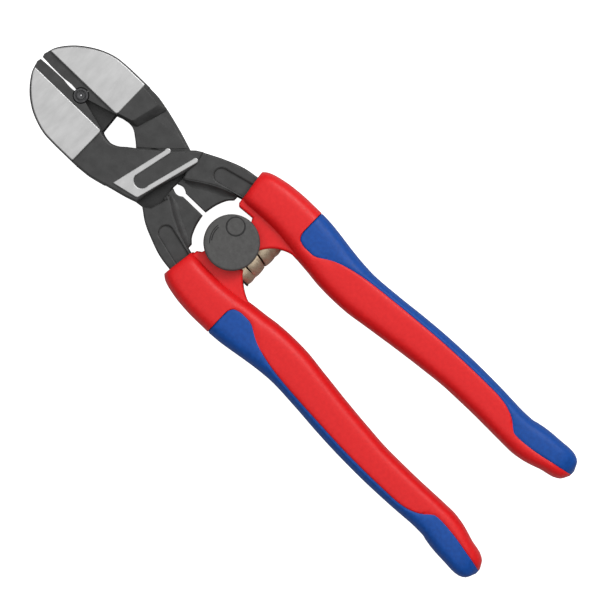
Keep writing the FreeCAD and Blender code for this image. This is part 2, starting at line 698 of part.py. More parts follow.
def make_lock():
    """Thumb dial with its hook, axle and detent on the upper bracket, and the catch pin on the lower one."""
    radius = SIZES["dial_radius"]
    low = SIZES["dial_bottom"]
    top = SIZES["dial_top"]
    axle = SIZES["axle_radius"]
    axle_top = top - 0.8
    face = SIZES["lobe_thickness"] / 2
    dial = [(0, axle_top), (axle, axle_top), (axle, low), (radius, low)]
    dial += [(radius, top - 0.6), (radius - 0.6, top), (0, top)]
    turned_piece("lock_dial", DIAL_CENTRE, dial)
    socket = [(0, -7.2), (0.9, -7.2), (0.9, -8.1)]
    screw_head = [(3.2, -8.1), (3.2, -6.7), (axle, -6.7)]
    turned_piece("dial_axle_screw", DIAL_CENTRE, socket + screw_head + [(axle, axle_top), (0, axle_top)])
    hole = axle + SIZES["running_clearance"]
    rear_washer = [(hole, -6.65), (3.6, -6.65), (3.6, -face), (hole, -face)]
    turned_piece("dial_rear_washer", DIAL_CENTRE, rear_washer)
    wave_washer = [(hole, face), (3.4, face), (3.4, face + 0.6), (hole, face + 0.6)]
    turned_piece("dial_wave_washer", DIAL_CENTRE, wave_washer)
    hook = new_body("dial_hook")
    catch = (SIZES["catch_x"], SIZES["catch_y"])
    toe = catch[0] - DIAL_CENTRE[0], catch[1] - DIAL_CENTRE[1]
    steer = math.degrees(math.atan2(toe[1], toe[0]))
    reach = math.hypot(*toe)
    plan = [
        ("start", polar(DIAL_CENTRE, 4.2, steer + 75)),
        ("arc", polar(DIAL_CENTRE, 4.2, steer + 180), polar(DIAL_CENTRE, 4.2, steer - 70)),
        ("line", polar(DIAL_CENTRE, reach + 1.0, steer - 42)),
        ("arc", polar(DIAL_CENTRE, reach + 1.0, steer - 10), polar(DIAL_CENTRE, reach + 1.0, steer + 18)),
        ("line", polar(DIAL_CENTRE, reach - 0.4, steer + 18)),
        ("line", polar(DIAL_CENTRE, 4.2, steer + 40)),
    ]
    pad(hook, outline(hook, "plan", plan, offset=face + 0.7), "0.8", centred=False)
    pocket(hook, circle(hook, "axle_hole", ("dial_x", "dial_y"), "axle_radius"), str(THROUGH))
    detent = (SIZES["ball_x"], SIZES["ball_y"])
    ball = SIZES["ball_radius"]
    half_round = [(0, -ball)] + [polar((0, 0), ball, angle) for angle in range(-75, 90, 15)] + [(0, ball)]
    turned_piece("detent_ball", detent, half_round, height=face - 0.2)
    floor = SIZES["ball_hole_floor"]
    under_ball = face - 0.9
    detent_spring = [(0.45, floor), (0.75, floor), (0.75, under_ball), (0.45, under_ball)]
    turned_piece("detent_spring", detent, detent_spring)
    pin = SIZES["catch_radius"]
    pin_top = face + 0.5
    foot = [(0, CATCH_PIN_FOOT), (pin, CATCH_PIN_FOOT)]
    tip = [(pin, pin_top - 0.2), (pin - 0.2, pin_top), (0, pin_top)]
    turned_piece("lock_catch_pin", catch, foot + tip)


def write_steps():
    """Checks every object and every sub-part, and writes one file for each sub-part."""
    doc.recompute()
    for item in doc.Objects:
        if "Invalid" in item.State or "Error" in item.State:
            raise RuntimeError(f"{item.Label} did not compute: {item.State}")
    os.makedirs("parts", exist_ok=True)
    for item in sub_parts:
        if item.Shape.isNull() or not item.Shape.isValid() or not item.Shape.Solids:
            raise RuntimeError(f"{item.Label} has no valid solid")
        item.Shape.exportStep(f"parts/{item.Label}.step")
        print(f"{item.Label}: {len(item.Shape.Solids)} solid, {item.Shape.Volume:.0f} mm3")


make_fixed_jaw_lever()
make_moving_jaw()
make_moving_handle_lever()
make_joint_hardware()
make_grips()
make_spring()
make_lock()
write_steps()
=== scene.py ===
"""Compact lever-action bolt cutters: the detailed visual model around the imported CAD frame."""

import json
import math

import bmesh
import bpy
from mathutils import Matrix, Vector

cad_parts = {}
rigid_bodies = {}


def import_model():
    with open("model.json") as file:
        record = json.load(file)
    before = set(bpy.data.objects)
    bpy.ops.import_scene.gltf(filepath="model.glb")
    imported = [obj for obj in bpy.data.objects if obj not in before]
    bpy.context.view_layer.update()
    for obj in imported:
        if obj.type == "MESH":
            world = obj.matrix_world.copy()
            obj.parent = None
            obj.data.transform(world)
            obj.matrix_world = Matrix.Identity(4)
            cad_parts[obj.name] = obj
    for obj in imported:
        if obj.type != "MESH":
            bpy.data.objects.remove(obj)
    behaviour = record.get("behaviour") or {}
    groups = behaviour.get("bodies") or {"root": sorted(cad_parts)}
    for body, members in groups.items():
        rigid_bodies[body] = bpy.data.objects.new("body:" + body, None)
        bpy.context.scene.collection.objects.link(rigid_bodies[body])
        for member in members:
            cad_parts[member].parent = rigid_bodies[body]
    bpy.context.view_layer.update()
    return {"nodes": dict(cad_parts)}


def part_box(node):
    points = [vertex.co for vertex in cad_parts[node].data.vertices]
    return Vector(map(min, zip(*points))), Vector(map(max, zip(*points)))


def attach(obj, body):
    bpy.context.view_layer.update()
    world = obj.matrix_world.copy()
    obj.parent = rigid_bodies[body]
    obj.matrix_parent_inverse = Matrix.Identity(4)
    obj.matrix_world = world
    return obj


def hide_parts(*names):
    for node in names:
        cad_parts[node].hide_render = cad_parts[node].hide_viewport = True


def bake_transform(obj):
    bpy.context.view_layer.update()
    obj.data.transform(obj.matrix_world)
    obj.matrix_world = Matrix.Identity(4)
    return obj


for leftover in list(bpy.data.objects):
    bpy.data.objects.remove(leftover)
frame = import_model()

# ---------------------------------------------------------------- places, from the frame

MM = 0.001


def middle(node):
    """The centre of a CAD node's box, in metres."""
    low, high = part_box(node)
    return (Vector(low) + Vector(high)) / 2


JAW_PIN = middle("jaw_pivot_pin")
MID_PLANE = middle("moving_jaw").z


def in_tool(point):
    """A point of the frame as x and y in millimetres from the jaw pin."""
    return ((point.x - JAW_PIN.x) / MM, (point.y - JAW_PIN.y) / MM)


def height(metres):
    """A height of the frame in millimetres above the middle plane."""
    return (metres - MID_PLANE) / MM


TO_FRAME = Matrix.Translation((JAW_PIN.x, JAW_PIN.y, MID_PLANE)) @ Matrix.Scale(MM, 4)
BOLT = in_tool(middle("handle_pivot_bolt"))
DRIVE = in_tool(middle("drive_pin"))
DIAL = in_tool(middle("lock_dial"))
SPRING_X = in_tool(middle("opening_spring"))[0]
TIP = in_tool(Vector(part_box("moving_jaw")[0]))[0]
PIVOT = (0, 0)

# The handle hinge's limits in degrees, and the jaw's turn for each degree of it.
HINGE_LIMITS = (-33.0, 2.4)
JAW_RATIO = 0.65

# Heights above the middle plane, in millimetres.
BLADE_Z = 5.2
FACE_Z = height(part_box("moving_jaw")[1][2])
BAND_Z = 5.8
PLATE_Z = height(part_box("fixed_jaw_lever")[1][2])
PLATEAU_Z = 5.0
RECESS_Z = 4.3
WEB_Z = 3.4
TINE_Z = 3.5
CAVITY_Z = 3.6
TENON_Z = 2.8
NOSE_Z = 1.7
FORK_Z = 1.8
LOBE_Z = 6.2
TANG_Z = 2.5
PLATEAU_FLOOR = 1.9

# How far a hidden core stays inside the skin that is seen, and radii at the jaw pin and the tines.
HIDDEN = 0.03
PIN_R = 1.35
EYE_R = 2.3
RECESS_R = 2.45
TINE_R = 3.4


# ---------------------------------------------------------------- outlines


def polar(centre, radius, degrees):
    """The point at a radius and an angle from the centre."""
    angle = math.radians(degrees)
    return (centre[0] + radius * math.cos(angle), centre[1] + radius * math.sin(angle))


def arc_points(a, b, c):
    """Points after a, along the arc through b to c."""
    (ax, ay), (bx, by), (cx, cy) = a, b, c
    d = 2 * (ax * (by - cy) + bx * (cy - ay) + cx * (ay - by))
    aa, bb, cc = ax * ax + ay * ay, bx * bx + by * by, cx * cx + cy * cy
    ux = (aa * (by - cy) + bb * (cy - ay) + cc * (ay - by)) / d
    uy = (aa * (cx - bx) + bb * (ax - cx) + cc * (bx - ax)) / d
    radius = math.hypot(ax - ux, ay - uy)
    start, mid, stop = (math.atan2(y - uy, x - ux) for x, y in (a, b, c))
    sweep = (stop - start) % math.tau
    if (mid - start) % math.tau > sweep:
        sweep -= math.tau
    count = max(4, int(abs(sweep) * radius / 0.4), int(abs(sweep) / 0.25))
    angles = [start + sweep * i / count for i in range(1, count + 1)]
    return [(ux + radius * math.cos(angle), uy + radius * math.sin(angle)) for angle in angles]


def curve_points(points):
    """Points after the first, along a smooth curve through all of them."""
    made = []
    for i in range(len(points) - 1):
        before = points[max(i - 1, 0)]
        a, b = points[i], points[i + 1]
        after = points[min(i + 2, len(points) - 1)]
        span = math.dist(a, b)
        ahead = span / max(math.dist(before, b), 1e-6)
        behind = span / max(math.dist(a, after), 1e-6)
        ta = [(b[k] - before[k]) * ahead for k in (0, 1)]
        tb = [(after[k] - a[k]) * behind for k in (0, 1)]
        count = max(3, int(span / 0.5))
        for step in range(1, count + 1):
            t = step / count
            h = (2 * t**3 - 3 * t**2 + 1, t**3 - 2 * t**2 + t, -2 * t**3 + 3 * t**2, t**3 - t**2)
            made.append(tuple(h[0] * a[k] + h[1] * ta[k] + h[2] * b[k] + h[3] * tb[k] for k in (0, 1)))
    return made


def ring(steps, side=1):
    """The closed ring of points of an outline's steps, with y reversed where side is -1."""
    points = [steps[0]]
    for step in steps[1:]:
        if step[0] == "arc":
            points += arc_points(points[-1], step[1], step[2])
        elif step[0] == "curve":
            points += curve_points([points[-1], *step[1:]])
        else:
            points.append(step)
    if math.dist(points[0], points[-1]) < 0.02:
        points.pop()
    return [(x, side * y) for x, y in points]


def circle(centre, radius, count=48):
    """A ring round the centre."""
    return [polar(centre, radius, 360 * i / count) for i in range(count)]


def capsule(ends, radius):
    """A round-ended slot between two points."""
    (ax, ay), (bx, by) = ends
    heading = math.degrees(math.atan2(by - ay, bx - ax))
    half = [polar((bx, by), radius, heading - 90 + 10 * i) for i in range(19)]
    return half + [polar((ax, ay), radius, heading + 90 + 10 * i) for i in range(19)]


# ---------------------------------------------------------------- meshes


def plate(points, low, high, bevel, holes=(), inset=0.0):
    """A flat plate between two heights, in millimetres, with rounded edges and any holes."""
    shape = bpy.data.curves.new("plan", "CURVE")
    shape.dimensions = "2D"
    shape.fill_mode = "BOTH"
    for loop in [points, *holes]:
        spline = shape.splines.new("POLY")
        spline.points.add(len(loop) - 1)
        for target, (x, y) in zip(spline.points, loop):
            target.co = (x, y, 0, 1)
        spline.use_cyclic_u = True
    shape.extrude = (high - low) / 2 - bevel
    shape.bevel_depth = bevel
    shape.bevel_resolution = 2
    shape.offset = -bevel - inset
    holder = bpy.data.objects.new("plan", shape)
    mesh = bpy.data.meshes.new_from_object(holder)
    bpy.data.objects.remove(holder)
    mesh.transform(Matrix.Translation((0, 0, (high + low) / 2)))
    return mesh


def both_sides(points, low, high, bevel, **more):
    """The plate between two heights above the middle plane, and its twin below."""
    return [plate(points, low, high, bevel, **more), plate(points, -high, -low, bevel, **more)]


def baked(bm):
    """The mesh that a bmesh holds. The bmesh is freed."""
    mesh = bpy.data.meshes.new("part")
    bm.to_mesh(mesh)
    bm.free()
    return mesh


def hull(points, bevel):
    """The convex block round some corners, with rounded edges."""
    bm = bmesh.new()
    made = [bm.verts.new(p) for p in points]
    bmesh.ops.convex_hull(bm, input=made)
    bmesh.ops.dissolve_limit(bm, angle_limit=math.radians(3), verts=bm.verts, edges=bm.edges)
    bmesh.ops.bevel(bm, geom=bm.edges[:], offset=bevel, segments=3, affect="EDGES", profile=0.5)
    return baked(bm)


def skin(rows, joined=False, merge=0.0):
    """A closed mesh through rings of equally many points, joined end to start or capped at both ends."""
    bm = bmesh.new()
    verts = [[bm.verts.new(point) for point in row] for row in rows]
    pairs = list(zip(verts, verts[1:]))
    if joined:
        pairs.append((verts[-1], verts[0]))
    count = len(rows[0])
    for a, b in pairs:
        for i in range(count):
            j = (i + 1) % count
            bm.faces.new((a[i], a[j], b[j], b[i]))
    if not joined:
        bm.faces.new(verts[0])
        bm.faces.new(verts[-1])
    if merge:
        bmesh.ops.remove_doubles(bm, verts=bm.verts, dist=merge)
    bmesh.ops.recalc_face_normals(bm, faces=bm.faces)
    return baked(bm)


def lathe(profile, centre, count=72, axis="z"):
    """A turned shape from (radius, height) points, closed on the axis where the radius is 0."""
    bm = bmesh.new()
    rows = []
    for radius, level in profile:
        if radius < 1e-6:
            rows.append([bm.verts.new((0, 0, level))])
        else:
            spots = circle(PIVOT, radius, count)
            rows.append([bm.verts.new((x, y, level)) for x, y in spots])
    for lower, upper in zip(rows, rows[1:]):
        for i in range(count):
            j = (i + 1) % count
            low, high = len(lower), len(upper)
            corners = [lower[i % low], lower[j % low], upper[j % high], upper[i % high]]
            corners = [c for k, c in enumerate(corners) if c not in corners[:k]]
            if len(corners) > 2:
                bm.faces.new(corners)
    bmesh.ops.recalc_face_normals(bm, faces=bm.faces)
    mesh = baked(bm)
    if axis == "y":
        mesh.transform(Matrix.Rotation(math.radians(-90), 4, "X"))
    mesh.transform(Matrix.Translation(centre))
    return mesh


def bead(centre, radius, width, level, start=0, stop=360):
    """A thin raised bead along a circle or part of one, on the height level."""
    count = max(8, int(abs(stop - start) / 6))
    whole = stop - start >= 360
    rows = []
    for i in range(count if whole else count + 1):
        angle = start + (stop - start) * i / count
        row = []
        for k in range(9):
            turn = math.pi * k / 8
            x, y = polar(centre, radius + math.cos(turn) * width / 2, angle)
            row.append((x, y, level + math.sin(turn) * 0.22 - 0.04))
        rows.append(row)
    return skin(rows, joined=whole)


def ramp(line, side, width, high, low):
    """A hollow slope along a line of points, from a high edge down to a low one towards the middle."""
    profile = ((-0.15, 0.0), (0.0, 0.03), (0.2, 0.42), (0.45, 0.75), (0.7, 0.92), (1.0, 1.0))
    under = low - 0.5
    rows = []
    for i, (x, y) in enumerate(line):
        before, after = line[max(i - 1, 0)], line[min(i + 1, len(line) - 1)]
        length = math.dist(before, after)
        across = ((after[1] - before[1]) / length, -(after[0] - before[0]) / length)
        along = i / (len(line) - 1)
        taper = min(1.0, 0.45 + 3.2 * min(along, 1 - along))
        row = []
        for share, drop in profile:
            reach = share * width * taper
            row.append((x + across[0] * reach, y + across[1] * reach, high + (low - high) * drop))
        row += [(row[-1][0], row[-1][1], under), (row[0][0], row[0][1], under)]
        rows.append([(px, side * py, pz) for px, py, pz in row])
    return skin(rows)


def underside(mesh):
    """A copy of a mesh, mirrored in the middle plane."""
    twin = mesh.copy()
    twin.transform(Matrix.Scale(-1, 4, (0, 0, 1)))
    twin.flip_normals()
    return twin


def assemble(name, body, parts, replaced=(), smooth=38, weighted=True):
    """One piece from (mesh in millimetres, material) pairs, riding on the body in place of CAD nodes."""
    materials = []
    bm = bmesh.new()
    for mesh, material in parts:
        if material not in materials:
            materials.append(material)
        before = len(bm.faces)
        bm.from_mesh(mesh)
        bm.faces.ensure_lookup_table()
        for face in bm.faces[before:]:
            face.material_index = materials.index(material)
    bmesh.ops.transform(bm, matrix=TO_FRAME, verts=bm.verts)
    joined = bpy.data.meshes.new(name)
    bm.to_mesh(joined)
    bm.free()
    for material in materials:
        joined.materials.append(material)
    joined.shade_smooth()
    joined.set_sharp_from_angle(angle=math.radians(smooth))
    piece = bpy.data.objects.new(name, joined)
    bpy.context.scene.collection.objects.link(piece)
    if weighted:
        modifier = piece.modifiers.new("even_shading", "WEIGHTED_NORMAL")
        modifier.keep_sharp = True
    if replaced:
        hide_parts(*replaced)
    if body:
        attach(piece, body)
    return piece


# ---------------------------------------------------------------- materials


def new_material(name, colour, roughness, metallic=0.0, specular=0.5):
    """A Principled material with one colour and roughness."""
    material = bpy.data.materials.new(name)
    material.use_nodes = True
    shader = material.node_tree.nodes["Principled BSDF"]
    shader.inputs["Base Color"].default_value = (*colour, 1)
    shader.inputs["Roughness"].default_value = roughness
    shader.inputs["Metallic"].default_value = metallic
    shader.inputs["Specular IOR Level"].default_value = specular
    return material


def noise(material, scale, detail=4.0, stretch=(1, 1, 1), spin=0.0):
    """The output of a noise texture in object space, with a scale per millimetre and a stretch."""
    nodes, links = material.node_tree.nodes, material.node_tree.links
    place = nodes.new("ShaderNodeTexCoord")
    mapping = nodes.new("ShaderNodeMapping")
    mapping.inputs["Scale"].default_value = [s * scale / MM for s in stretch]
    mapping.inputs["Rotation"].default_value = (0, 0, math.radians(spin))
    texture = nodes.new("ShaderNodeTexNoise")
    texture.inputs["Scale"].default_value = 1.0
    texture.inputs["Detail"].default_value = detail
    links.new(place.outputs["Object"], mapping.inputs["Vector"])
    links.new(mapping.outputs["Vector"], texture.inputs["Vector"])
    return texture.outputs["Fac"]


def vary(material, source, socket, low, high, ends=(0.3, 0.7)):
    """Drives one of the shader's sockets by a texture, from a low grey or colour to a high one."""
    node = material.node_tree.nodes.new("ShaderNodeValToRGB")
    links = material.node_tree.links
    links.new(source, node.inputs["Fac"])
    for element, position, value in zip(node.color_ramp.elements, ends, (low, high)):
        colour = value if isinstance(value, tuple) else (value, value, value)
        element.position = position
        element.color = (*colour, 1)
    links.new(node.outputs["Color"], material.node_tree.nodes["Principled BSDF"].inputs[socket])


def bump(material, source, depth, strength=1.0):
    """Bumps the surface by a texture, with a depth in millimetres."""
    node = material.node_tree.nodes.new("ShaderNodeBump")
    node.inputs["Distance"].default_value = depth * MM
    node.inputs["Strength"].default_value = strength
    links = material.node_tree.links
    links.new(source, node.inputs["Height"])
    links.new(node.outputs["Normal"], material.node_tree.nodes["Principled BSDF"].inputs["Normal"])


def ground_steel():
    """Bright ground steel: fine grain across the jaw and faint cloudy patches."""
    material = new_material("ground_steel", (0.72, 0.73, 0.74), 0.42, metallic=0.75)
    cloud = noise(material, 0.22, 8, (2.0, 0.8, 1), spin=12)
    vary(material, cloud, "Base Color", 0.36, 0.42)
    grain = noise(material, 3.2, 6, (3, 0.35, 1), spin=12)
    vary(material, grain, "Roughness", 0.4, 0.52, ends=(0.25, 0.75))
    bump(material, grain, 0.006, 0.5)
    return material


def black_steel(name, dark, light):
    """Blackened forged steel: fine scale with slight grey variation."""
    material = new_material(name, (light, light, light), 0.5, specular=0.3)
    patch = noise(material, 0.35, 6)
    vary(material, patch, "Base Color", dark, light, ends=(0.3, 0.72))
    scale = noise(material, 2.6, 5)
    vary(material, scale, "Roughness", 0.46, 0.62)
    bump(material, scale, 0.03, 0.5)
    return material


def moulded(name, dark, light, roughness, grain=0.02, size=2.4):
    """Moulded plastic with a fine eroded texture and slight mottling."""
    material = new_material(name, light, roughness, specular=0.22)
    mottle = noise(material, 0.9, 8)
    vary(material, mottle, "Base Color", dark, light)
    texture = noise(material, size, 3)
    vary(material, texture, "Roughness", roughness - 0.06, roughness + 0.08)
    bump(material, texture, grain, 0.7)
    return material


def plated(name, dark, light, roughness, stretch):
    """Turned or rolled metal with fine lines along one direction."""
    material = new_material(name, light, roughness, metallic=0.85)
    lines = noise(material, 1.2, 5, stretch)
    vary(material, lines, "Base Color", dark, light)
    vary(material, lines, "Roughness", roughness - 0.08, roughness + 0.1)
    bump(material, lines, 0.01, 0.5)
    return material


BRIGHT = ground_steel()
BLACK = black_steel("black_steel", 0.026, 0.04)
# A darker copy of the black steel for the recessed tenon and nose plates: painted shade standing in for the
# shadow that falls in those recesses.
RECESS_SHADE_STEEL = black_steel("recess_shade_steel", 0.01, 0.016)
RED = moulded("red_plastic", (0.56, 0.006, 0.008), (0.62, 0.01, 0.011), 0.42)
BLUE = moulded("blue_plastic", (0.001, 0.045, 0.23), (0.003, 0.06, 0.3), 0.5, 0.03, 1.8)
DIAL_GREY = moulded("dial_plastic", (0.058, 0.057, 0.056), (0.074, 0.073, 0.072), 0.6, 0.035, 2.2)
# Darker grey for the dial's thin ring and arc marks: painted shade standing in for the shadow inside the
# marks' grooves.
GROOVE_SHADE_GREY = moulded("dial_mark_shade", (0.016, 0.016, 0.016), (0.024, 0.024, 0.024), 0.5)
BRASS = plated("spring_strip", (0.34, 0.25, 0.17), (0.62, 0.54, 0.4), 0.42, (1, 7, 1))
PIN_STEEL = plated("pin_steel", (0.03, 0.03, 0.032), (0.07, 0.07, 0.072), 0.42, (1, 1, 4))
HARD_STEEL = plated("hardware_steel", (0.3, 0.3, 0.31), (0.5, 0.5, 0.51), 0.35, (1, 1, 5))

# ---------------------------------------------------------------- outlines of the forgings

UPPER_BACK = ("curve", (-15.2, 5.2), (-12, 9.2), (-8, 12.3), (-4, 14.4), (0, 15.6), (5, 16))
LOWER_BACK = ("curve", (-15.3, -5.2), (-12, -9.6), (-8, -12.8), (-4, -14.7), (0, -15.8), (5, -16.1))
UPPER_FACE = ("curve", (-14.7, 5.3), (-11.7, 8.9), (-7.8, 11.9), (-3.9, 14.0), (0, 15.2), (5, 15.6))
LOWER_FACE = ("curve", (-14.9, -5.2), (-11.8, -9.1), (-7.8, -12.4), (-3.9, -14.3), (0, -15.4), (5, -15.7))
WINDOW_LOW = [(12.3, -3.6), (14, -4.0), (16.3, -4.0), (18.5, -3.1), (20.5, -1.5), (22.5, 0)]
ARM_BACK = [(40, 14.1), (44, 16), (50, 18.2), (56.4, 19.2)]
RIDGE = [(50, 9.4), (45, 6.9), (42, 5), (39, 3)]
OVAL = ((46.6, 11.9), (58.6, 14.9))
OVAL_R = 2.15


def edge_strip(side):
    """The cutting edge from the back to the tip, round the jaw pin's recess."""
    return [
        (11.4, side * 3.1),
        (2.4, side * 0.53),
        ("arc", (0, side * RECESS_R), (-2.4, side * 0.3)),
        *gap_edge(side),
    ]


def gap_edge(side):
    """The lens-shaped opening in front of the jaw pin, and the fine gap that widens to the tips."""
    return [
        ("arc", (-5.0, side * 0.46), (-8.2, side * 0.14)),
        (-10.0, side * 0.15),
        (-12.6, side * 0.2),
        (-16.0, side * 0.36),
    ]


def ground_face(side, back, corner):
    """The bright face beside the cutting edge, with rounded corners at its rear."""
    return ring([
        (-15.4, side * 3.3),
        (-15.6, side * 3.6),
        back,
        (11.2, side * corner),
        ("arc", (11.55, side * (corner - 0.15)), (11.7, side * (corner - 0.5))),
        (11.7, side * 4.2),
        ("arc", (11.44, side * 3.56), (10.8, side * 3.3)),
    ])


def web_outline():
    """The thin web between the ridge and the gap, cut round for the keyhole and the dial."""
    return ring([
        (38.8, 5.0),
        (38.6, 0.85),
        ("arc", (40.5, 1.45), (42.6, 0.6)),
        (50.5, 0.6),
        ("curve", (51.2, 4), (52.6, 7.4), (54.2, 9.2)),
        (54.2, 14.0),
    ])


def flipped(points, side):
    """The ring with y reversed where side is -1."""
    return [(x, side * y) for x, y in points]


def arm_parts(side, root, far_core):
    """Raised plateau with its oval recess, the web inside it and the start of the tang."""
    inside_grip = [(62, 19.8), (62, 11.6), (56.4, 11.2)]
    plan = flipped(ring([root[0], ("curve", *ARM_BACK), *inside_grip, ("curve", *RIDGE), *root[1:]]), side)
    oval = flipped(capsule(OVAL, OVAL_R), side)
    parts = both_sides(plan, PLATEAU_FLOOR, PLATEAU_Z, 0.55, holes=[oval])
    parts.append(plate(flipped(far_core, side), -RECESS_Z, RECESS_Z, 0.3, inset=HIDDEN))
    parts += both_sides(flipped(web_outline(), side), FORK_Z + 0.1, WEB_Z, 0.35)
    crest = curve_points([(39.3, 3.2), (42, 5), (45, 6.9), (50, 9.4), (53.6, 10.6)])
    slope = ramp(crest, side, 2.3, PLATEAU_Z - 0.1, WEB_Z - 0.05)
    parts += [slope, underside(slope)]
    tang = ring([(53, 13.2), (53, 18.8), (62, 18.8), (62, 13.2)])
    parts.append(plate(flipped(tang, side), -TANG_Z, TANG_Z, 0.2))
    return parts


# ---------------------------------------------------------------- the three forgings


def fixed_jaw_lever():
    """Lower jaw, diagonal band with two cheeks and a bright plate, and the upper arm."""
    back = [(-16.2, -0.4), (TIP, -1.5), LOWER_BACK, (13, -16.1), (13, -4.6)]
    blade = ring([*back, *edge_strip(-1)])
    face = ground_face(-1, LOWER_FACE, 15.7)
    bottom = ("curve", (30, -12.7), (24, -14.2), (19, -15.6), (14, -16.1))
    cheek = ring([
        (11.4, -3.1),
        ("curve", *WINDOW_LOW),
        ("curve", (25, 2.1), (30, 6.2), (34.5, 10.6)),
        (36, 12),
        (38, 13.2),
        (39, 9),
        ("curve", (38, 4), (36, -2), (34.5, -8), (33.9, -11.4)),
        bottom,
        (11.4, -16.1),
    ])
    core = ring([
        (11.4, -3.1),
        ("curve", (12.3, -3.6), (14, -4.0), (16.3, -4.0), (17.3, -3.7)),
        ("arc", polar(PIVOT, 17.7, -18), polar(PIVOT, 17.7, -26)),
        (22.6, -10.8),
        (22.9, -14.7),
        ("curve", (19, -15.6), (14, -16.1)),
        (11.4, -16.1),
    ])
    tenon = ring([
        polar(PIVOT, EYE_R, 49),
        ("arc", polar(PIVOT, EYE_R, 180), polar(PIVOT, EYE_R, 235)),
        (-1.2, -4),
        (11.9, -4),
        (11.3, 3.25),
    ])
    bar = ring([
        (31.0, 5.6),
        ("arc", (30.2, 6.9), (29.35, 5.6)),
        (24.9, -12.1),
        (32.5, -10.5),
        ("arc", (33.2, -10.1), (33.5, -9.4)),
        (38.8, 9.4),
        ("arc", (38.1, 10.5), (37.2, 9.6)),
        (33.0, -5.4),
        ("arc", (31.2, -7.9), (28.3, -6.0)),
    ])
    far = [
        (36.9, 12.5),
        ("curve", *ARM_BACK),
        (56.4, 11.2),
        ("curve", (50, 9.4), (45, 6.9), (43.2, 5.8)),
        ("arc", polar(BOLT, 21.8, 50), polar(BOLT, 21.8, 60)),
    ]
    parts = [(plate(blade, -BLADE_Z, BLADE_Z, 0.12), BLACK)]
    parts.append((plate(face, -FACE_Z, FACE_Z, 0.3), BRIGHT))
    parts += [(mesh, BLACK) for mesh in both_sides(cheek, CAVITY_Z, BAND_Z, 0.75)]
    parts.append((plate(core, -BAND_Z + 0.05, BAND_Z - 0.05, 0.75, inset=HIDDEN), BLACK))
    # The tenon wears the darker steel: painted shade of its recess.
    parts.append((plate(tenon, -TENON_Z, TENON_Z, 0.15), RECESS_SHADE_STEEL))
    parts += [(mesh, BRIGHT) for mesh in both_sides(bar, BAND_Z - 0.6, PLATE_Z, 0.26)]
    start = [(36.9, 12.5), (38.3, 5.4), (37.9, 8.0)]
    parts += [(mesh, BLACK) for mesh in arm_parts(1, start, ring(far))]
    return assemble("fixed_jaw_lever_forging", "fixed_handle", parts, ["fixed_jaw_lever"])


